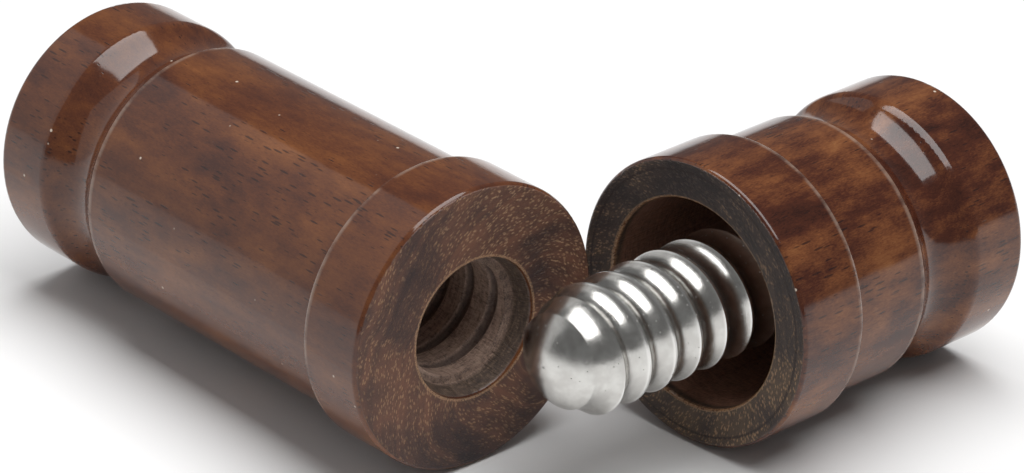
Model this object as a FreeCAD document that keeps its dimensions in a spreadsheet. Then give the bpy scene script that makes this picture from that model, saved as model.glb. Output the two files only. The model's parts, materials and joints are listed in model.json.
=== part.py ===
import FreeCAD, Part
import Sketcher
import math
import os
from FreeCAD import Placement, Rotation, Vector

# A wooden screw nutcracker, in millimetres.
#
# The barrel is turned wood. Its mouth carries a threaded bore that leads to a nut chamber,
# and the chamber opens on the barrel's side. The handle is a turned cup with a steel thrust
# screw standing in its middle. The halves lie apart on their sides, the handle across the
# barrel's mouth. Each piece is drawn with its own X axis along the turning axis and its mouth
# at X = 0, and X grows into the wood. The world has +Z up and the barrel along X, with its
# mouth towards +X.

SIZES = [
    # the turned outline that both halves share
    ("collar_radius", 25.0),
    ("body_radius", 23.15),
    ("cap_radius", 23.4),
    ("mouth_round", 0.9),
    ("collar_round", 0.9),
    ("body_round", 0.7),
    ("cove_width", 12.1),
    ("cove_step", 1.0),
    ("cove_groove", 0.4),
    ("cove_radius", 9.0),
    ("cap_round", 3.0),
    ("end_round", 1.3),
    # the barrel
    ("barrel_length", 99.0),
    ("barrel_collar_length", 13.7),
    ("barrel_cap_length", 12.5),
    ("recess_margin", 1.65),
    ("recess_floor_margin", 0.6),
    ("recess_depth", 4.2),
    ("neck_length", 21.5),
    ("chamber_radius", 17.0),
    ("chamber_edge_round", 0.8),
    # the handle
    ("handle_length", 56.0),
    ("handle_collar_length", 14.4),
    ("handle_cap_length", 12.3),
    ("cup_radius", 18.2),
    ("cup_depth", 32.0),
    ("cup_lip_round", 0.5),
    # the thrust screw and its thread
    ("screw_radius", 10.7),
    ("screw_reach", 34.5),
    ("nose_radius", 11.0),
    ("nose_length", 3.6),
    ("shoulder_length", 8.3),
    ("shoulder_hollow", 6.2),
    ("thread_pitch", 6.0),
    ("thread_depth", 1.25),
    ("thread_crest", 0.4),
    ("thread_start", 1.7),
    ("thread_clearance", 0.25),
    # the fixing inside the handle
    ("bolt_radius", 3.0),
    ("bolt_engagement", 14.0),
    ("bolt_head_height", 4.0),
    ("bolt_head_flats", 10.0),
    ("bolt_hole_clearance", 0.3),
    ("washer_radius", 8.4),
    ("washer_thickness", 1.6),
    ("fixing_bore_radius", 9.0),
    ("plug_thickness", 5.0),
    ("plug_space", 1.0),
    ("running_gap", 0.05),
    # how the two halves lie
    ("handle_angle", 94.4),
    ("handle_ahead", 16.8),
    ("side_gap", 5.3),
]

doc = FreeCAD.newDocument("screw_nutcracker")
sheet = doc.addObject("Spreadsheet::Sheet", "Sizes")
for row, (alias, number) in enumerate(SIZES, start=1):
    sheet.set("A%d" % row, alias)
    sheet.set("B%d" % row, str(number))
    sheet.setAlias("B%d" % row, alias)
doc.recompute()


def value(expression):
    """The number that an expression over the sheet gives."""
    return float(sheet.evalExpression(expression))


def origin_feature(body, role):
    """The body's own origin plane or axis with this role."""
    return next(f for f in body.Origin.OriginFeatures if f.Role == role)


def new_body(name):
    """An empty body whose label is its file's name."""
    body = doc.addObject("PartDesign::Body", name)
    body.Label = name
    return body


def new_sketch(body, name, plane="XY_Plane"):
    """A sketch on one of the body's origin planes."""
    sketch = body.newObject("Sketcher::SketchObject", name)
    sketch.AttachmentSupport = [(origin_feature(body, plane), "")]
    sketch.MapMode = "FlatFace"
    return sketch


def bind(sketch, constraint, expression):
    """Add a dimension and tie it to the sheet."""
    index = sketch.addConstraint(constraint)
    sketch.setExpression("Constraints[%d]" % index, expression)


def pin_point(sketch, edge, end, point):
    """Hold one end of an edge at its place along the axis and its radius."""
    across, up = point
    for kind, axis_edge, expression in (("DistanceX", -2, across), ("DistanceY", -1, up)):
        if expression == "0":
            sketch.addConstraint(Sketcher.Constraint("PointOnObject", edge, end, axis_edge))
        else:
            bind(sketch, Sketcher.Constraint(kind, edge, end, value(expression)), expression)


def outline_sketch(body, name, points, hollow_arcs=(), plane="XY_Plane"):
    """A closed outline through (along, radius) expressions.

    A side listed in hollow_arcs, as {side number: radius}, curves to its right: in towards
    the axis if it runs towards +X.
    """
    sketch = new_sketch(body, name, plane)
    numbers = [Vector(value(a), value(r), 0) for a, r in points]
    for side, start in enumerate(numbers):
        finish = numbers[(side + 1) % len(numbers)]
        if side in hollow_arcs:
            radius = value(hollow_arcs[side])
            half = (finish - start) * 0.5
            sag = radius - math.sqrt(radius ** 2 - half.Length ** 2)
            inward = Vector(half.y, -half.x, 0).normalize()
            sketch.addGeometry(Part.Arc(start, start + half + inward * sag, finish))
        else:
            sketch.addGeometry(Part.LineSegment(start, finish))
    # an arc that was given by three points may run backwards: its first end is found by place
    ends = []
    for side, start in enumerate(numbers):
        first = sketch.getPoint(side, 1)
        ends.append((1, 2) if first.distanceToPoint(start) < 1e-6 else (2, 1))
    for side, point in enumerate(points):
        after = (side + 1) % len(points)
        pin_point(sketch, side, ends[side][0], point)
        joint = Sketcher.Constraint("Coincident", side, ends[side][1], after, ends[after][0])
        sketch.addConstraint(joint)
        if side in hollow_arcs:
            radius = value(hollow_arcs[side])
            bind(sketch, Sketcher.Constraint("Radius", side, radius), hollow_arcs[side])
    return sketch


def turned(body, name, points, hollow_arcs=()):
    """Solid of revolution about the body's X axis."""
    sketch = outline_sketch(body, name + "Outline", points, hollow_arcs)
    feature = body.newObject("PartDesign::Revolution", name)
    feature.Profile = sketch
    feature.ReferenceAxis = (sketch, ["H_Axis"])
    feature.Angle = 360.0
    doc.recompute()
    return feature


def turned_away(body, name, points, hollow_arcs=()):
    """Cut a solid of revolution about the body's X axis out of the body."""
    before = body.Shape.Volume
    sketch = outline_sketch(body, name + "Outline", points, hollow_arcs)
    feature = body.newObject("PartDesign::Groove", name)
    feature.Profile = sketch
    feature.ReferenceAxis = (sketch, ["H_Axis"])
    feature.Angle = 360.0
    doc.recompute()
    require_smaller(body, before, name)
    return feature


def require_smaller(body, before, name):
    """A cut that removed nothing is a mistake."""
    if body.Shape.Volume > before - 1e-3:
        raise RuntimeError(name + " cut nothing")


def cylinder_points(start, finish, radius):
    """Outline of a plain cylinder from the axis out."""
    return [(start, "0"), (start, radius), (finish, radius), (finish, "0")]


def ring_edges(shape, along, radius):
    """Names of the circular edges about X at this place and radius."""
    names = []
    for number, edge in enumerate(shape.Edges, start=1):
        curve = edge.Curve
        if not isinstance(curve, Part.Circle):
            continue
        near = abs(curve.Center.x - along) < 1e-4 and abs(curve.Radius - radius) < 1e-4
        if near and abs(abs(curve.Axis.x) - 1) < 1e-6:
            names.append("Edge%d" % number)
    return names


def rounded(body, name, along, radius, size):
    """Fillet the turned edge at this place."""
    base = body.Tip
    edges = ring_edges(base.Shape, value(along), value(radius))
    if not edges:
        raise RuntimeError("no edge for " + name)
    feature = body.newObject("PartDesign::Fillet", name)
    feature.Base = (base, edges)
    feature.setExpression("Radius", size)
    doc.recompute()
    return feature


def thread_cut(body, name, sketch, length):
    """Cut a right-hand helical groove about X, running towards +X from the sketch's own place."""
    before = body.Shape.Volume
    feature = body.newObject("PartDesign::SubtractiveHelix", name)
    feature.Profile = sketch
    feature.ReferenceAxis = (sketch, ["H_Axis"])
    feature.Mode = "pitch-height-angle"
    feature.setExpression("Pitch", "Sizes.thread_pitch")
    feature.setExpression("Height", length)
    feature.LeftHanded = False
    feature.Reversed = False
    doc.recompute()
    require_smaller(body, before, name)
    return feature


def turned_half(body, length, collar, cap):
    """The outline that both halves share: collar, waist, cove and cap."""
    body_end = "{0} - {1} - Sizes.cove_width".format(length, cap)
    cap_start = "{0} - {1}".format(length, cap)
    points = [
        ("0", "0"),
        ("0", "Sizes.collar_radius"),
        (collar, "Sizes.collar_radius"),
        (collar, "Sizes.body_radius"),
        (body_end, "Sizes.body_radius"),
        (body_end, "Sizes.body_radius - Sizes.cove_step - Sizes.cove_groove"),
        (body_end + " + Sizes.cove_groove", "Sizes.body_radius - Sizes.cove_step"),
        (cap_start, "Sizes.cap_radius"),
        (length, "Sizes.cap_radius"),
        (length, "0"),
    ]
    cove_side = 6
    turned(body, "Turning", points, {cove_side: "Sizes.cove_radius"})
    rounded(body, "MouthRound", "0", "Sizes.collar_radius", "Sizes.mouth_round")
    rounded(body, "CollarRound", collar, "Sizes.collar_radius", "Sizes.collar_round")
    rounded(body, "BodyRound", body_end, "Sizes.body_radius", "Sizes.body_round")
    rounded(body, "CapRound", cap_start, "Sizes.cap_radius", "Sizes.cap_round")
    rounded(body, "EndRound", length, "Sizes.cap_radius", "Sizes.end_round")


# the screw's groove is a round of this radius, centred outside the crests
GROOVE_HALF = "(Sizes.thread_pitch - Sizes.thread_crest) / 2"
THREAD_ROUND = ("((%s) ^ 2 + Sizes.thread_depth ^ 2) / (2 * Sizes.thread_depth)" % GROOVE_HALF)
THREAD_CENTRE = "(Sizes.screw_radius - Sizes.thread_depth + %s)" % THREAD_ROUND


# ---------------------------------------------------------------- barrel

CHAMBER_CENTRE = "Sizes.neck_length + Sizes.chamber_radius"
BORE_RADIUS = "Sizes.screw_radius - Sizes.thread_depth + 2 * Sizes.thread_clearance"


def make_barrel():
    """The long half: recess, threaded neck and a blind nut chamber from the side."""
    body = new_body("barrel")
    turned_half(body, "Sizes.barrel_length", "Sizes.barrel_collar_length",
                "Sizes.barrel_cap_length")
    recess = [
        ("0", "0"),
        ("0", "Sizes.screw_radius + Sizes.recess_margin"),
        ("Sizes.recess_depth", "Sizes.screw_radius + Sizes.recess_floor_margin"),
        ("Sizes.recess_depth", "0"),
    ]
    turned_away(body, "Recess", recess)
    bore = cylinder_points("Sizes.recess_depth", CHAMBER_CENTRE, BORE_RADIUS)
    turned_away(body, "Bore", bore)
    cut_bore_thread(body)
    cut_chamber(body)
    return body


def crest_half_width(radius):
    """Half the thickness of the screw's thread at this radius, as an expression."""
    height = "(%s - (%s))" % (THREAD_CENTRE, radius)
    return "Sizes.thread_pitch / 2 - sqrt((%s) ^ 2 - %s ^ 2)" % (THREAD_ROUND, height)


def cut_bore_thread(body):
    """A narrow groove that takes the screw's crest, with clearance on every side."""
    start = "Sizes.recess_depth - Sizes.thread_pitch"
    outer = "Sizes.screw_radius + Sizes.thread_clearance"
    inner = BORE_RADIUS + " - Sizes.thread_clearance"
    half_outer = "Sizes.thread_crest / 2 + Sizes.thread_clearance"
    half_inner = crest_half_width(BORE_RADIUS) + " + Sizes.thread_clearance"
    points = [
        ("%s - (%s)" % (start, half_inner), inner),
        ("%s - (%s)" % (start, half_outer), outer),
        ("%s + (%s)" % (start, half_outer), outer),
        ("%s + (%s)" % (start, half_inner), inner),
    ]
    sketch = outline_sketch(body, "BoreThreadOutline", points)
    thread_cut(body, "BoreThread", sketch, CHAMBER_CENTRE + " - Sizes.recess_depth")


def cut_chamber(body):
    """The nut chamber: a ball-ended pocket across the barrel, opening on its -Y side."""
    before = body.Shape.Volume
    sketch = new_sketch(body, "ChamberOutline")
    sketch.setExpression("AttachmentOffset.Base.x", CHAMBER_CENTRE)
    radius = value("Sizes.chamber_radius")
    outside = "Sizes.collar_radius + Sizes.chamber_edge_round"
    bottom = Vector(0, radius, 0)
    side = Vector(radius, 0, 0)
    corner = Vector(radius, -value(outside), 0)
    axis_end = Vector(0, -value(outside), 0)
    halfway = Vector(radius / math.sqrt(2), radius / math.sqrt(2), 0)
    sketch.addGeometry(Part.Arc(side, halfway, bottom))
    sketch.addGeometry(Part.LineSegment(bottom, axis_end))
    sketch.addGeometry(Part.LineSegment(axis_end, corner))
    sketch.addGeometry(Part.LineSegment(corner, side))
    for edge in range(4):
        after = (edge + 1) % 4
        sketch.addConstraint(Sketcher.Constraint("Coincident", edge, 2, after, 1))
    sketch.addConstraint(Sketcher.Constraint("Coincident", 0, 3, -1, 1))
    sketch.addConstraint(Sketcher.Constraint("PointOnObject", 0, 1, -1))
    sketch.addConstraint(Sketcher.Constraint("PointOnObject", 0, 2, -2))
    sketch.addConstraint(Sketcher.Constraint("PointOnObject", 1, 2, -2))
    sketch.addConstraint(Sketcher.Constraint("Horizontal", 2))
    sketch.addConstraint(Sketcher.Constraint("Vertical", 3))
    bind(sketch, Sketcher.Constraint("Radius", 0, radius), "Sizes.chamber_radius")
    bind(sketch, Sketcher.Constraint("DistanceY", 1, 2, -value(outside)), "-(%s)" % outside)
    feature = body.newObject("PartDesign::Groove", "Chamber")
    feature.Profile = sketch
    feature.ReferenceAxis = (sketch, ["V_Axis"])
    feature.Angle = 360.0
    doc.recompute()
    require_smaller(body, before, "Chamber")
    round_chamber_edge(body)


def round_chamber_edge(body):
    """Soften the edge where the chamber meets the barrel's side."""
    base = body.Tip
    centre = value(CHAMBER_CENTRE)
    names = []
    for number, edge in enumerate(base.Shape.Edges, start=1):
        point = edge.valueAt((edge.FirstParameter + edge.LastParameter) / 2)
        off_chamber = math.hypot(point.x - centre, point.z) - value("Sizes.chamber_radius")
        off_waist = math.hypot(point.y, point.z) - value("Sizes.body_radius")
        if abs(off_chamber) < 1e-3 and abs(off_waist) < 1e-3:
            names.append("Edge%d" % number)
    feature = body.newObject("PartDesign::Fillet", "ChamberRound")
    feature.Base = (base, names)
    feature.setExpression("Radius", "Sizes.chamber_edge_round")
    doc.recompute()


# ---------------------------------------------------------------- handle

FLOOR = "Sizes.cup_depth"
HEAD_SEAT = ("Sizes.handle_length - Sizes.plug_thickness - Sizes.plug_space"
             " - Sizes.bolt_head_height - Sizes.washer_thickness - 2 * Sizes.running_gap")


def make_handle_cup():
    """The short half: a cup with a bolt hole through its floor and a bore for the fixing."""
    body = new_body("handle_cup")
    turned_half(body, "Sizes.handle_length", "Sizes.handle_collar_length",
                "Sizes.handle_cap_length")
    turned_away(body, "Cup", cylinder_points("0", FLOOR, "Sizes.cup_radius"))
    hole = "Sizes.bolt_radius + Sizes.bolt_hole_clearance"
    turned_away(body, "BoltHole", cylinder_points(FLOOR, "Sizes.handle_length", hole))
    bore = cylinder_points(HEAD_SEAT, "Sizes.handle_length", "Sizes.fixing_bore_radius")
    turned_away(body, "FixingBore", bore)
    rounded(body, "LipRound", "0", "Sizes.cup_radius", "Sizes.cup_lip_round")
    return body


def make_thrust_screw():
    """The steel screw: a round bar with a domed nose, a rolled thread and a tapped foot."""
    body = new_body("thrust_screw")
    nose = "-Sizes.screw_reach"
    bar = cylinder_points(nose, FLOOR, "Sizes.screw_radius")
    turned(body, "Bar", bar)
    cut_screw_thread(body)
    cut_nose(body)
    hole_start = "Sizes.cup_depth - Sizes.bolt_engagement - 1"
    hole_radius = "Sizes.bolt_radius + Sizes.running_gap"
    turned_away(body, "TappedHole", cylinder_points(hole_start, FLOOR, hole_radius))
    return body


def cut_screw_thread(body):
    """A broad round-bottomed groove that leaves a narrow crest."""
    start = "(Sizes.thread_start - Sizes.screw_reach - Sizes.thread_pitch)"
    proud = "Sizes.screw_radius + 2 * Sizes.thread_clearance"
    points = [
        ("%s + %s" % (start, GROOVE_HALF), proud),
        ("%s - %s" % (start, GROOVE_HALF), proud),
        ("%s - %s" % (start, GROOVE_HALF), "Sizes.screw_radius"),
        ("%s + %s" % (start, GROOVE_HALF), "Sizes.screw_radius"),
    ]
    sketch = outline_sketch(body, "ScrewThreadOutline", points, {2: THREAD_ROUND})
    length = "Sizes.screw_reach + Sizes.cup_depth + 2 * Sizes.thread_pitch"
    thread_cut(body, "ScrewThread", sketch, length)


def cut_nose(body):
    """Turn the nose down to a ball end behind which a hollow shoulder rises to the thread."""
    nose = "-Sizes.screw_reach"
    ball_end = nose + " + Sizes.nose_length"
    ball_half = "sqrt(Sizes.nose_radius ^ 2 - (Sizes.nose_radius - Sizes.nose_length) ^ 2)"
    full = nose + " + Sizes.shoulder_length"
    clear = "Sizes.screw_radius + 1"
    shoulder = [
        (ball_end, ball_half),
        (full, "Sizes.screw_radius"),
        (full, clear),
        (ball_end, clear),
    ]
    turned_away(body, "Shoulder", shoulder, {0: "Sizes.shoulder_hollow"})
    ball = [
        (ball_end, ball_half),
        (nose, "0"),
        (nose + " - 1", "0"),
        (nose + " - 1", clear),
        (ball_end, clear),
    ]
    turned_away(body, "Nose", ball, {0: "Sizes.nose_radius"})


def make_anchor_bolt():
    """Hexagon bolt that pulls the screw's foot onto the cup's floor."""
    body = new_body("anchor_bolt")
    seat = HEAD_SEAT + " + Sizes.washer_thickness + 2 * Sizes.running_gap"
    shank_start = "Sizes.cup_depth - Sizes.bolt_engagement"
    turned(body, "Shank", cylinder_points(shank_start, seat, "Sizes.bolt_radius"))
    corner = "Sizes.bolt_head_flats / sqrt(3)"
    half_side = "Sizes.bolt_head_flats / sqrt(12)"
    half_flats = "Sizes.bolt_head_flats / 2"
    hexagon = [
        (corner, "0"),
        (half_side, half_flats),
        ("-" + half_side, half_flats),
        ("-" + corner, "0"),
        ("-" + half_side, "-" + half_flats),
        (half_side, "-" + half_flats),
    ]
    sketch = outline_sketch(body, "HeadOutline", hexagon, plane="YZ_Plane")
    sketch.setExpression("AttachmentOffset.Base.z", seat)
    head = body.newObject("PartDesign::Pad", "Head")
    head.Profile = sketch
    head.setExpression("Length", "Sizes.bolt_head_height")
    doc.recompute()
    return body


def make_washer():
    """Plain washer under the bolt's head, free to turn."""
    body = new_body("washer")
    start = HEAD_SEAT + " + Sizes.running_gap"
    finish = start + " + Sizes.washer_thickness"
    inner = "Sizes.bolt_radius + Sizes.running_gap"
    points = [(start, inner), (start, "Sizes.washer_radius"),
              (finish, "Sizes.washer_radius"), (finish, inner)]
    turned(body, "Ring", points)
    return body


def make_end_plug():
    """Wooden plug that closes the fixing bore, flush with the handle's end."""
    body = new_body("end_plug")
    start = "Sizes.handle_length - Sizes.plug_thickness"
    radius = "Sizes.fixing_bore_radius - Sizes.running_gap"
    turned(body, "Disc", cylinder_points(start, "Sizes.handle_length", radius))
    return body


# ---------------------------------------------------------------- how the halves lie

def lying(length, collar, heading, mouth):
    """Place a half on its side, touching the ground with its collar and with its cap.

    heading is the direction in which the axis runs from the mouth, in degrees about Z.
    """
    drop = math.atan2(value("Sizes.collar_radius - Sizes.cap_radius"), value(length + " - " + collar))
    lift = (value("Sizes.collar_radius") * math.cos(drop) + value(collar) * math.sin(drop))
    turn = Rotation(Vector(0, 0, 1), heading) * Rotation(Vector(0, 1, 0), math.degrees(drop))
    return Placement(Vector(mouth.x, mouth.y, lift), turn)


def place_all(barrel_pieces, handle_pieces):
    """Lay both halves down, then put the origin under the middle of the whole."""
    along = value("Sizes.handle_angle")
    skew = math.radians(along - 90)
    across = value("Sizes.collar_radius") * (1 + math.sin(skew)) + value("Sizes.side_gap")
    barrel_place = lying("Sizes.barrel_length", "Sizes.barrel_collar_length", 180.0,
                         Vector(0, 0, 0))
    handle_place = lying("Sizes.handle_length", "Sizes.handle_collar_length", along,
                         Vector(value("Sizes.handle_ahead"), across, 0))
    whole = FreeCAD.BoundBox()
    for pieces, place in ((barrel_pieces, barrel_place), (handle_pieces, handle_place)):
        for body in pieces:
            body.Placement = place
            whole.add(body.Shape.optimalBoundingBox(False))
    shift = Vector(-whole.Center.x, -whole.Center.y, -whole.ZMin)
    for body in barrel_pieces + handle_pieces:
        body.Placement = Placement(shift, Rotation()) * body.Placement


barrel_bodies = [make_barrel()]
handle_bodies = [
    make_handle_cup(),
    make_thrust_screw(),
    make_anchor_bolt(),
    make_washer(),
    make_end_plug(),
]
place_all(barrel_bodies, handle_bodies)
doc.recompute()

for item in doc.Objects:
    if {"Invalid", "Error"} & set(item.State):
        raise RuntimeError("%s failed: %s" % (item.Name, item.State))

os.makedirs("parts", exist_ok=True)
for body in barrel_bodies + handle_bodies:
    shape = body.Shape
    if shape.isNull() or not shape.isValid():
        raise RuntimeError(body.Label + " has no valid shape")
    shape.exportStep(os.path.join("parts", body.Label + ".step"))
    print(body.Label, len(shape.Solids), round(shape.Volume, 2), shape.BoundBox)
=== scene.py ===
import json
import math

import bpy
from mathutils import Matrix, Vector

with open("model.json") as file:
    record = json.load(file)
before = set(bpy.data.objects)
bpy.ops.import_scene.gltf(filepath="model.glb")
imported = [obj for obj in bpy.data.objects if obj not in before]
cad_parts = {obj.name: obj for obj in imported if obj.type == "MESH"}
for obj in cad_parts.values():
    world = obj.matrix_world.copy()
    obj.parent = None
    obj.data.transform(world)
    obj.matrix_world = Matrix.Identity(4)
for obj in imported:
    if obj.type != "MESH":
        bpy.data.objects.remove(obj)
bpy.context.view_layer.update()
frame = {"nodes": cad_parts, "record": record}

# A wooden screw nutcracker: two lacquered, turned halves and a nickel-plated thrust screw.
# The CAD nodes keep their shapes. Each gets a material that is drawn in the turning coordinates
# of its half: X runs along the turning axis from the mouth into the wood, in millimetres.

MM = 0.001


def srgb(red, green, blue):
    """A display colour, 0 to 255, as the linear colour that shaders use."""
    return tuple((c / 255 / 12.92) if c <= 10 else ((c / 255 + 0.055) / 1.055) ** 2.4
                 for c in (red, green, blue)) + (1.0,)


def grey(level):
    """A linear grey."""
    return (level, level, level, 1.0)


# ---------------------------------------------------------------- turning axes

def lowest_along(node, origin, axis):
    """The lowest place of a node's points along an axis."""
    return min((v.co - origin).dot(axis) for v in frame["nodes"][node].data.vertices)


def turning_frame(node, point, axis):
    """Mouth centre and axes of a turned piece: columns are along, across and up."""
    along = Vector(axis).normalized()
    start = Vector(point)
    mouth = start + along * lowest_along(node, start, along)
    across = Vector((0, 0, 1)).cross(along).normalized()
    up = along.cross(across)
    return mouth, Matrix((along, across, up)).transposed()


record = frame["record"]
barrel_mount = next(m for m in record["mounts"] if m["name"] == "barrel_end")
turn_joint = next(j for j in record["behaviour"]["joints"] if j["name"] == "handle_turn")
barrel_mouth, barrel_axes = turning_frame("barrel", barrel_mount["pos_m"], barrel_mount["axis"])
handle_mouth, handle_axes = turning_frame("handle_cup", turn_joint["pos_m"], turn_joint["axis"])


# ---------------------------------------------------------------- shader building

class Shader:
    """A material's node tree with short calls for the nodes that are used here."""

    def __init__(self, name):
        self.material = bpy.data.materials.new(name)
        self.material.use_nodes = True
        self.tree = self.material.node_tree
        self.tree.nodes.clear()
        output = self.add("ShaderNodeOutputMaterial")
        self.surface = self.add("ShaderNodeBsdfPrincipled")
        self.join(self.surface.outputs["BSDF"], output.inputs["Surface"])

    def add(self, kind, **settings):
        node = self.tree.nodes.new(kind)
        for key, setting in settings.items():
            setattr(node, key, setting)
        return node

    def join(self, source, target):
        """Link a socket, or set a plain value."""
        if isinstance(source, bpy.types.NodeSocket):
            self.tree.links.new(source, target)
        else:
            target.default_value = source

    # coordinates

    def turning_coordinates(self, mouth, axes):
        """Object coordinates turned into millimetres along, across and up from the mouth."""
        coords = self.add("ShaderNodeTexCoord")
        mapping = self.add("ShaderNodeMapping", vector_type="POINT")
        back = axes.transposed()
        mapping.inputs["Rotation"].default_value = back.to_euler()
        mapping.inputs["Scale"].default_value = (1 / MM,) * 3
        mapping.inputs["Location"].default_value = -(back @ mouth) / MM
        self.join(coords.outputs["Object"], mapping.inputs["Vector"])
        return mapping.outputs["Vector"]

    def facing_along(self, axes):
        """How far the surface faces along the turning axis: 0 on the side, 1 on a flat end."""
        coords = self.add("ShaderNodeTexCoord")
        dot = self.add("ShaderNodeVectorMath", operation="DOT_PRODUCT")
        self.join(coords.outputs["Normal"], dot.inputs[0])
        dot.inputs[1].default_value = axes.col[0]
        return self.math("ABSOLUTE", dot.outputs["Value"])

    def stretch(self, vector, scale, shift=(0, 0, 0)):
        mapping = self.add("ShaderNodeMapping", vector_type="POINT")
        mapping.inputs["Scale"].default_value = scale
        mapping.inputs["Location"].default_value = shift
        self.join(vector, mapping.inputs["Vector"])
        return mapping.outputs["Vector"]

    def split(self, vector):
        node = self.add("ShaderNodeSeparateXYZ")
        self.join(vector, node.inputs[0])
        return node.outputs["X"], node.outputs["Y"], node.outputs["Z"]

    def combine(self, x, y, z):
        node = self.add("ShaderNodeCombineXYZ")
        for source, name in ((x, "X"), (y, "Y"), (z, "Z")):
            self.join(source, node.inputs[name])
        return node.outputs[0]

    # numbers

    def math(self, operation, first, second=0.0, third=0.0):
        node = self.add("ShaderNodeMath", operation=operation)
        for source, socket in zip((first, second, third), node.inputs):
            self.join(source, socket)
        return node.outputs[0]

    def distance(self, across, up):
        """The distance from the point where both coordinates are 0."""
        squares = self.math("ADD", self.math("MULTIPLY", across, across),
                            self.math("MULTIPLY", up, up))
        return self.math("SQRT", squares)

    def weighted(self, *terms):
        """The sum of sources, each times its weight."""
        (source, weight), *others = terms
        total = self.math("MULTIPLY", source, weight)
        for source, weight in others:
            total = self.math("MULTIPLY_ADD", source, weight, total)
        return total

    def mix_number(self, amount, first, second):
        node = self.add("ShaderNodeMix", data_type="FLOAT")
        self.join(amount, node.inputs["Factor"])
        self.join(first, node.inputs[2])
        self.join(second, node.inputs[3])
        return node.outputs[0]

    # patterns

    def noise(self, vector, scale, detail=3.0, roughness=0.55, distortion=0.0):
        node = self.add("ShaderNodeTexNoise")
        self.join(vector, node.inputs["Vector"])
        node.inputs["Scale"].default_value = scale
        node.inputs["Detail"].default_value = detail
        node.inputs["Roughness"].default_value = roughness
        node.inputs["Distortion"].default_value = distortion
        return node.outputs["Fac"]

    def voronoi(self, vector):
        """Distance to the nearest random point, and that point's random number."""
        node = self.add("ShaderNodeTexVoronoi", feature="F1")
        self.join(vector, node.inputs["Vector"])
        node.inputs["Scale"].default_value = 1.0
        red = self.add("ShaderNodeSeparateColor")
        self.join(node.outputs["Color"], red.inputs[0])
        return node.outputs["Distance"], red.outputs[0]

    # masks

    def step(self, source, low, high):
        """A smooth step from 0 where source is low to 1 where it is high. low may be the larger."""
        node = self.add("ShaderNodeMapRange", interpolation_type="SMOOTHSTEP", clamp=True)
        start, end = 0.0, 1.0
        if low > high:
            low, high, start, end = high, low, end, start
        self.join(source, node.inputs["Value"])
        for key, number in (("From Min", low), ("From Max", high),
                            ("To Min", start), ("To Max", end)):
            node.inputs[key].default_value = number
        return node.outputs["Result"]

    def band(self, source, middle, half, soft):
        """1 where source is within half of middle, falling to 0 over soft."""
        off = self.math("ABSOLUTE", self.math("SUBTRACT", source, middle))
        return self.step(off, half + soft, half)

    def both(self, *masks):
        result = masks[0]
        for mask in masks[1:]:
            result = self.math("MULTIPLY", result, mask)
        return result

    def either(self, first, second):
        return self.math("MAXIMUM", first, second)

    # colours

    def mix(self, amount, first, second):
        node = self.add("ShaderNodeMix", data_type="RGBA")
        self.join(amount, node.inputs["Factor"])
        self.join(first, node.inputs[6])
        self.join(second, node.inputs[7])
        return node.outputs[2]

    def tint(self, base, mask, amount, tone):
        """The base colour with this amount of a tone where the mask is 1."""
        return self.mix(self.math("MULTIPLY", mask, amount), base, tone)

    def ramp(self, source, *stops):
        node = self.add("ShaderNodeValToRGB")
        elements = node.color_ramp.elements
        while len(elements) > 1:
            elements.remove(elements[-1])
        elements[0].position, elements[0].color = stops[0]
        for position, color in stops[1:]:
            elements.new(position).color = color
        self.join(source, node.inputs["Fac"])
        return node.outputs["Color"]

    # surface

    def bump(self, height, depth, normal=None):
        """Bump whose height of 1 stands for a depth in millimetres."""
        node = self.add("ShaderNodeBump")
        node.inputs["Strength"].default_value = 1.0
        node.inputs["Distance"].default_value = depth * MM
        self.join(height, node.inputs["Height"])
        if normal is not None:
            self.join(normal, node.inputs["Normal"])
        return node.outputs["Normal"]

    def finish(self, **inputs):
        for name, source in inputs.items():
            self.join(source, self.surface.inputs[name.replace("_", " ")])
        return self.material


# ---------------------------------------------------------------- wood

LACQUER_IOR = 1.52
LACQUER_RELIEF = 0.06
BARE_RELIEF = 0.20
BARE_ROUGHNESS = 0.50
END_FACING = (0.80, 0.94)  # how far a surface faces along the axis where it turns to end grain


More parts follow.
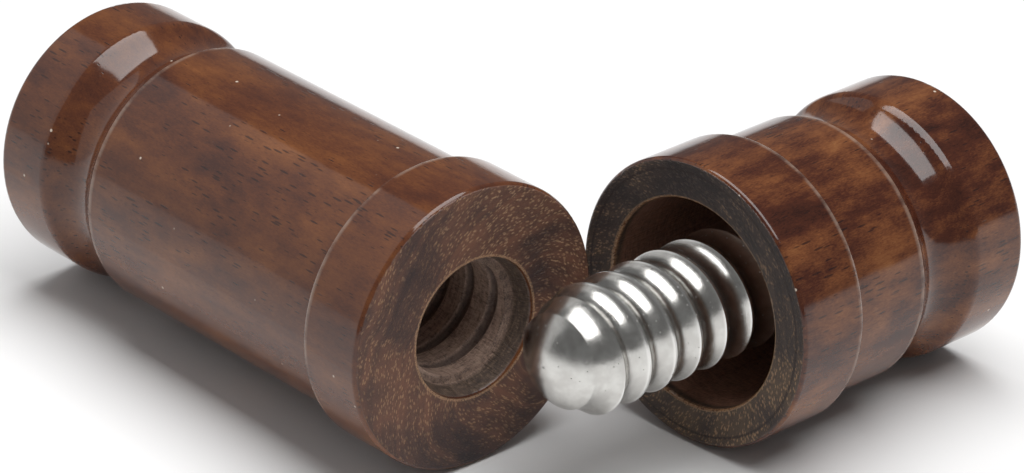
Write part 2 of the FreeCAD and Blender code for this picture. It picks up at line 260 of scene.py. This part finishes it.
class Wood(Shader):
    """Turned wood with its grain along the turning axis, and the layers it is drawn from.

    Inside the hollow the wood is bare and rough, and so are the flat ends. pith is where the
    tree's middle was, across and up from the axis, and seed shifts the random patterns. All
    lengths are in millimetres.
    """

    def __init__(self, name, mouth, axes, pith, seed, tones, turning):
        super().__init__(name)
        self.tones = tones
        self.turning = turning
        local = self.turning_coordinates(mouth, axes)
        self.x, self.y, self.z = self.split(local)
        self.radius = self.distance(self.y, self.z)
        self.seeded = self.stretch(local, (1, 1, 1), seed)
        self.clouds = self.grain((0.10, 0.20, 0.20), 4, 0.66)
        self.flecks = self.grain((0.40, 2.8, 2.8), 3, 0.7)
        self.grit = self.grain((1, 3.4, 3.4), 4, 0.75)
        self.scrape = self.grain((2.2, 0.5, 0.5), 5, 0.7)
        self.grow_rings(pith)
        self.on_end = self.step(self.facing_along(axes), *END_FACING)
        self.inside = self.hollow_mask()
        self.bare_amount = self.either(self.on_end, self.inside)
        self.pores, self.fine_pores = self.pore_masks()
        self.specks = self.speck_mask()
        self.dashes = self.end_dash_mask()

    def grain(self, scale, detail, roughness=0.55, distortion=0.0, shift=(0, 0, 0)):
        """Noise in the wood, with its own scale along, across and up."""
        vector = self.stretch(self.seeded, scale, shift)
        return self.noise(vector, 1.0, detail, roughness, distortion)

    def cells(self, scale, shift=(0, 0, 0)):
        """Random points in the wood: distance to the nearest, and that point's number."""
        return self.voronoi(self.stretch(self.seeded, scale, shift))

    def grow_rings(self, pith):
        """Growth rings about the pith, pushed about by slow noise, and the way round them."""
        across = self.math("SUBTRACT", self.y, pith[0])
        up = self.math("SUBTRACT", self.z, pith[1])
        ring_radius = self.distance(across, up)
        sway = self.grain((0.012, 0.05, 0.05), 2)
        self.swayed = self.math("ADD", ring_radius, self.math("MULTIPLY", sway, 8.0))
        self.rings = self.noise(self.combine(self.swayed, 0.0, 0.0), 0.42, 2, 0.6)
        angle = self.math("ARCTAN2", up, across)
        self.arc = self.math("MULTIPLY", angle, self.math("SNAP", ring_radius, 5.0))

    def hollow_mask(self):
        """The hollow's wall, from just behind its mouth to where bare wood ends."""
        wall = self.turning["hollow_radius"]
        end = self.turning["hollow_end"]
        return self.both(self.step(self.radius, wall + 0.35, wall + 0.05),
                         self.step(self.x, 0.25, 0.9),
                         self.step(self.x, end, end - 1.0))

    def pore_masks(self):
        """Open pores: dashes along the grain, crowded in some patches, and finer ones."""
        spread, chance = self.cells((0.24, 1.60, 1.60))
        crowd = self.step(self.grain((0.035, 0.11, 0.11), 2, shift=(7, 3, 9)), 0.40, 0.62)
        reach = self.math("MULTIPLY_ADD", crowd, 0.22, 0.10)
        within = self.math("SUBTRACT", reach, spread)
        pores = self.both(self.step(within, -0.03, 0.10), self.step(chance, 0.12, 0.45))
        spread, chance = self.cells((0.55, 3.2, 3.2), (3, 1, 5))
        fine = self.both(self.step(spread, 0.30, 0.12), self.step(chance, 0.55, 0.75),
                         self.step(self.clouds, 0.36, 0.56))
        return pores, fine

    def speck_mask(self):
        """A few pale specks caught in the lacquer."""
        spread, chance = self.cells((0.22, 0.22, 0.22), (1, 8, 2))
        return self.both(self.step(spread, 0.075, 0.035), self.step(chance, 0.62, 0.66))

    def end_dash_mask(self):
        """Short dashes strung along the rings of a flat end."""
        strung = self.combine(self.math("MULTIPLY", self.swayed, 2.7),
                              self.math("MULTIPLY", self.arc, 1.25), 0.0)
        spread, chance = self.voronoi(strung)
        return self.both(self.step(spread, 0.50, 0.24), self.step(chance, 0.05, 0.40))

    def figure(self):
        """The side's figure: broad cloudy patches, with only faint streaks along the grain."""
        patches = self.grain((0.028, 0.070, 0.070), 3, 0.62, 0.5)
        streaks = self.grain((0.050, 0.95, 0.95), 4, 0.62)
        silk = self.math("SUBTRACT", self.grain((1.5, 5.0, 5.0), 2, 0.6), 0.5)
        value = self.weighted((patches, 0.44), (self.clouds, 0.34), (streaks, 0.10),
                              (self.rings, 0.05), (self.flecks, 0.07), (silk, 0.16))
        tones = self.tones
        return self.ramp(value, (0.37, tones["dark"]), (0.47, tones["middle"]),
                         (0.57, tones["warm"]), (0.69, tones["light"]))

    def side(self):
        """The lacquered side: figure, pores and specks, with its turned grooves.

        Stain gathers in the grooves, and the lacquer beside them is paler on the edge: partly
        rubbed thin, partly a painted highlight along the rounded edge.
        """
        side = self.tint(self.figure(), self.pores, 0.72, self.tones["pore"])
        side = self.tint(side, self.fine_pores, 0.42, self.tones["pore"])
        side = self.tint(side, self.specks, 0.9, self.tones["dust"])
        pale_edge_patches = self.step(self.clouds, 0.30, 0.62)
        for place in self.turning["grooves"]:
            stain = self.band(self.x, place + 0.20, 0.12, 0.40)
            side = self.tint(side, stain, 0.70, self.tones["pore"])
            # Paler edge beside each groove: rubbed lacquer, and a painted highlight along the
            # rounded edge.
            edge = self.both(self.band(self.x, place - 0.70, 0.15, 0.65), pale_edge_patches)
            side = self.tint(side, edge, 0.50, self.tones["worn_and_highlight"])
        return side

    def flat_end(self):
        """A flat end: brown and nearly black zones, with pale dashes and a scored line, made
        lighter or darker across and up as painted light and shade.
        """
        tones = self.tones
        # Painted light and shade: a flat end is made lighter or darker across and up by these
        # amounts.
        painted_shading_across, painted_shading_up = self.turning["end_painted_shading"]
        zones = self.grain((0.10, 0.085, 0.085), 3, 0.55, shift=(5, 5, 1))
        value = self.weighted((zones, 0.50), (self.rings, 0.34), (self.grit, 0.16),
                              (self.y, painted_shading_across), (self.z, painted_shading_up))
        end = self.ramp(value, (0.38, tones["end_dark"]), (0.48, tones["end"]),
                        (0.60, tones["end_warm"]))
        paleness = self.math("MULTIPLY_ADD", self.step(value, 0.42, 0.56), 0.52, 0.08)
        end = self.tint(end, self.dashes, paleness, tones["fleck"])
        scored = self.both(self.band(self.radius, self.turning["scored_radius"], 0.10, 0.22),
                           self.step(self.x, 1.0, 0.5))
        return self.tint(end, scored, 0.75, tones["pore"])

    def bare_wall(self):
        """Bare wood scraped by the cutter: darker near the mouth, painted paler farther in as
        painted light, and darkened in the thread's groove as painted shade.
        """
        tones = self.tones
        depth = self.turning["bare_depth"]
        root = self.turning["thread_root"]
        value = self.weighted((self.grit, 0.5), (self.scrape, 0.5))
        # Painted light: farther in, the bare wood is given paler tones than near the mouth.
        deep_painted_light = self.ramp(value, (0.36, tones["deep_painted_light_dark"]), (0.52, tones["deep_painted_light"]),
                         (0.70, tones["deep_painted_light_pale"]))
        near = self.ramp(value, (0.38, tones["bare_dark"]), (0.54, tones["bare"]),
                         (0.68, tones["bare_light"]))
        wall = self.mix(self.step(self.x, depth, depth - 1.2), deep_painted_light, near)
        # Painted shade in the thread's groove, in the darkest of the paler inner tones.
        thread_painted_shade = self.both(self.step(self.radius, root - 0.5, root),
                              self.step(self.x, depth, depth + 0.8))
        return self.tint(wall, thread_painted_shade, 0.75, tones["deep_painted_light_dark"])

    def worn_lip(self):
        """The lip round the hollow's mouth, where it is chipped pale."""
        lip = self.turning["hollow_radius"] + 0.22
        return self.both(self.band(self.radius, lip, 0.12, 0.20), self.step(self.x, 1.2, 0.5),
                         self.step(self.grit, 0.36, 0.58))

    def colour(self):
        colour = self.mix(self.on_end, self.side(), self.flat_end())
        colour = self.mix(self.inside, colour, self.bare_wall())
        return self.tint(colour, self.worn_lip(), 0.75, self.tones["fleck"])

    def roughness(self):
        lacquer = self.math("MULTIPLY_ADD", self.flecks, 0.10, 0.05)
        return self.mix_number(self.bare_amount, lacquer, BARE_ROUGHNESS)

    def relief(self):
        """Lacquer that swells slowly and dips at the pores, and rough bare wood."""
        swell = self.grain((0.10, 0.16, 0.16), 2, 0.5)
        height = self.weighted((swell, 0.9), (self.pores, -0.12), (self.specks, 0.6))
        lacquer = self.bump(height, LACQUER_RELIEF)
        scraped = self.math("MULTIPLY", self.inside, 0.8)
        height = self.weighted((self.grit, 1.0), (self.dashes, -0.7), (self.scrape, scraped))
        return self.bump(self.math("MULTIPLY", height, self.bare_amount), BARE_RELIEF, lacquer)


def turned_wood(name, mouth, axes, pith, seed, tones, turning):
    """Lacquered, walnut-stained wood for one turned piece."""
    wood = Wood(name, mouth, axes, pith, seed, tones, turning)
    return wood.finish(Base_Color=wood.colour(), Roughness=wood.roughness(),
                       Normal=wood.relief(), IOR=LACQUER_IOR)


WALNUT = {
    "dark": srgb(68, 38, 30),
    "middle": srgb(92, 52, 34),
    "warm": srgb(114, 68, 39),
    "light": srgb(138, 86, 50),
    "pore": srgb(36, 21, 20),
    # Pale tone for the edges beside the grooves: rubbed lacquer and a painted highlight.
    "worn_and_highlight": srgb(162, 142, 128),
    "dust": srgb(222, 206, 188),
    "end_dark": srgb(50, 38, 41),
    "end": srgb(86, 60, 52),
    "end_warm": srgb(124, 83, 65),
    "fleck": srgb(198, 158, 120),
    "bare_dark": srgb(56, 45, 40),
    "bare": srgb(98, 80, 68),
    "bare_light": srgb(160, 136, 114),
    # Paler tones for the bare wood farther inside the hollow: painted light.
    "deep_painted_light_dark": srgb(92, 76, 70),
    "deep_painted_light": srgb(178, 150, 134),
    "deep_painted_light_pale": srgb(208, 180, 160),
}
REDDISH = dict(
    WALNUT,
    dark=srgb(46, 21, 15),
    middle=srgb(74, 37, 24),
    warm=srgb(116, 69, 40),
    light=srgb(148, 98, 58),
    end_dark=srgb(44, 36, 36),
    end=srgb(66, 54, 49),
    end_warm=srgb(96, 78, 62),
    bare_dark=srgb(58, 44, 38),
    bare=srgb(92, 72, 58),
    bare_light=srgb(134, 108, 84),
    # Paler tones for the bare wood farther inside the hollow: painted light.
    deep_painted_light_dark=srgb(96, 68, 58),
    deep_painted_light=srgb(154, 112, 92),
    deep_painted_light_pale=srgb(190, 148, 120),
)


# ---------------------------------------------------------------- metal

NICKEL = (srgb(198, 196, 192), srgb(216, 215, 211))
ZINC = (srgb(150, 150, 150), srgb(178, 178, 176))
# Paler metal for the crests and corners: a painted highlight.
CREST_HIGHLIGHT_METAL = srgb(240, 239, 236)
PITTED_METAL = srgb(96, 90, 84)
PLATE_RELIEF = 0.04


def plated_steel(name, tones, roughness, marks, crest_radius):
    """Nickel or zinc plate for a piece on the handle's axis, with turning marks and pits.

    marks is how strongly the turning marks show. What stands out to crest_radius, in
    millimetres, gets a painted highlight: a paler metal colour.
    """
    s = Shader(name)
    local = s.turning_coordinates(handle_mouth, handle_axes)
    x, y, z = s.split(local)
    radius = s.distance(y, z)
    smear = s.noise(s.stretch(local, (0.35, 0.35, 0.35)), 1.0, 4, 0.6)
    lathe = s.combine(s.math("MULTIPLY", x, 9.0), s.math("MULTIPLY", radius, 9.0), 0.0)
    lines = s.noise(lathe, 1.0, 3, 0.6)
    spread, chance = s.voronoi(s.stretch(local, (1.3, 1.3, 1.3)))
    pit = s.both(s.step(spread, 0.15, 0.06), s.step(chance, 0.70, 0.80))
    # Painted highlight: the crests are tinted a paler metal.
    crest_highlight = s.step(radius, crest_radius - 0.35, crest_radius - 0.08)
    tone = s.mix(s.step(smear, 0.35, 0.70), *tones)
    tone = s.tint(tone, crest_highlight, 0.7, CREST_HIGHLIGHT_METAL)
    tone = s.tint(tone, pit, 0.6, PITTED_METAL)
    rough = s.math("MULTIPLY_ADD", smear, 0.14, roughness)
    rough = s.math("MULTIPLY_ADD", pit, 0.3, rough)
    height = s.weighted((smear, 0.8), (lines, marks), (pit, -1.5))
    return s.finish(Base_Color=tone, Metallic=1.0, Roughness=rough,
                    Normal=s.bump(height, PLATE_RELIEF))


# ---------------------------------------------------------------- the pieces' materials

# The CAD part's own sizes, in millimetres, where its marks of turning and rubbing and its painted
# highlights lie.
COVE_WIDTH = 12.1
BARREL_LENGTH = 99.0
BARREL_COLLAR = 13.7
BARREL_CAP = 12.5
RECESS_MARGIN = 1.65
HANDLE_LENGTH = 56.0
HANDLE_COLLAR = 14.4
HANDLE_CAP = 12.3
CUP_RADIUS = 18.2
SCREW_RADIUS = 10.7
BOLT_HEAD_RADIUS = 5.8  # at its corners, rounded

NO_THREAD = 40.0  # a radius outside all the wood
NO_SCORED_LINE = 0.0  # on the axis, where a mouth has no wood


def groove_places(length, collar, cap):
    """The grooves lie where the collar ends and where the cove begins."""
    return collar, length - cap - COVE_WIDTH


# hollow_end is how far in the bare wood goes, and bare_depth how far in its darker tones go; deeper
# in, the bare wood is painted paler, as painted light where little light falls. The last entry is
# how much lighter a flat end is painted for each millimetre across and up, as painted light and
# shade.
BARREL_TURNING = {
    "hollow_radius": SCREW_RADIUS + RECESS_MARGIN,
    "hollow_end": 60.0,
    "thread_root": 10.5,
    "bare_depth": 4.6,
    "grooves": groove_places(BARREL_LENGTH, BARREL_COLLAR, BARREL_CAP),
    "scored_radius": NO_SCORED_LINE,
    "end_painted_shading": (-0.0006, 0.0020),
}
HANDLE_TURNING = {
    "hollow_radius": CUP_RADIUS,
    "hollow_end": 52.0,
    "thread_root": NO_THREAD,
    "bare_depth": 2.5,
    "grooves": groove_places(HANDLE_LENGTH, HANDLE_COLLAR, HANDLE_CAP),
    "scored_radius": 23.1,
    "end_painted_shading": (0.0, -0.0030),
}
PLUG_TURNING = dict(BARREL_TURNING, hollow_radius=0.0, grooves=())

bolt_metal = plated_steel("bolt_metal", ZINC, roughness=0.28, marks=1.0,
                          crest_radius=BOLT_HEAD_RADIUS)
materials = {
    "barrel": turned_wood("barrel_wood", barrel_mouth, barrel_axes, pith=(-13, -9),
                          seed=(3, 11, 5), tones=WALNUT, turning=BARREL_TURNING),
    "handle_cup": turned_wood("handle_wood", handle_mouth, handle_axes, pith=(14, -12),
                              seed=(40, 2, 17), tones=REDDISH, turning=HANDLE_TURNING),
    "end_plug": turned_wood("plug_wood", handle_mouth, handle_axes, pith=(-40, 18),
                            seed=(80, 9, 31), tones=WALNUT, turning=PLUG_TURNING),
    "thrust_screw": plated_steel("screw_metal", NICKEL, roughness=0.16, marks=0.35,
                                 crest_radius=SCREW_RADIUS),
    "anchor_bolt": bolt_metal,
    "washer": bolt_metal,
}
for node_name, material in materials.items():
    for slot in frame["nodes"][node_name].material_slots:
        slot.material = material


# ---------------------------------------------------------------- floor, light and camera

def pale_floor(half_size):
    """A white square on the ground."""
    mesh = bpy.data.meshes.new("floor")
    corners = [(-half_size, -half_size, 0), (half_size, -half_size, 0),
               (half_size, half_size, 0), (-half_size, half_size, 0)]
    mesh.from_pydata(corners, [], [(0, 1, 2, 3)])
    floor = bpy.data.objects.new("floor", mesh)
    bpy.context.collection.objects.link(floor)
    s = Shader("floor_white")
    coords = s.add("ShaderNodeTexCoord").outputs["Object"]
    tone = s.ramp(s.noise(coords, 3.0, 2), (0.3, grey(0.90)), (0.7, grey(0.92)))
    mesh.materials.append(s.finish(Base_Color=tone, Roughness=0.75))


def softbox(name, place, aim, width, height, radiance):
    """A rectangular light whose surface has this radiance. Lengths are in metres."""
    lamp = bpy.data.lights.new(name, "AREA")
    lamp.shape = "RECTANGLE"
    lamp.size = width
    lamp.size_y = height
    lamp.energy = math.pi * width * height * radiance
    holder = bpy.data.objects.new(name, lamp)
    holder.location = place
    holder.rotation_euler = (Vector(aim) - Vector(place)).to_track_quat("-Z", "Y").to_euler()
    bpy.context.collection.objects.link(holder)


def even_world(strength):
    world = bpy.data.worlds.new("studio")
    world.use_nodes = True
    background = world.node_tree.nodes["Background"]
    background.inputs["Color"].default_value = grey(1.0)
    background.inputs["Strength"].default_value = strength
    bpy.context.scene.world = world


# Fitted to the photo's outlines. Place and target are in millimetres from the floor under the
# barrel's mouth, and the roll is in degrees.
CAMERA_PLACE = (605.83, -510.27, 458.50)
CAMERA_TARGET = (-5.37, 12.37, 35.69)
CAMERA_ROLL = 0.37
LENS = 195.65
SENSOR_WIDTH = 36.0


def photo_camera():
    """Long lens, looking down at the barrel's mouth from in front and to the right."""
    stand = Vector((barrel_mouth.x, barrel_mouth.y, 0))
    place = stand + Vector(CAMERA_PLACE) * MM
    target = stand + Vector(CAMERA_TARGET) * MM
    data = bpy.data.cameras.new("camera")
    data.lens = LENS
    data.sensor_width = SENSOR_WIDTH
    camera = bpy.data.objects.new("camera", data)
    bpy.context.collection.objects.link(camera)
    aim = (target - place).to_track_quat("-Z", "Y").to_matrix()
    roll = Matrix.Rotation(math.radians(CAMERA_ROLL), 3, "Z")
    camera.matrix_world = Matrix.Translation(place) @ (aim @ roll).to_4x4()
    bpy.context.scene.camera = camera


pale_floor(half_size=30.0)
even_world(strength=0.16)
softbox("overhead", place=(0.15, 0.22, 1.5), aim=(0.15, 0.22, 0), width=1.9, height=1.15,
        radiance=4.4)
softbox("left_card", place=(-0.62, -0.45, 0.32), aim=(0, -0.2, 0.2), width=1.1, height=1.15,
        radiance=0.44)
photo_camera()
bpy.context.scene.view_settings.view_transform = "Standard"
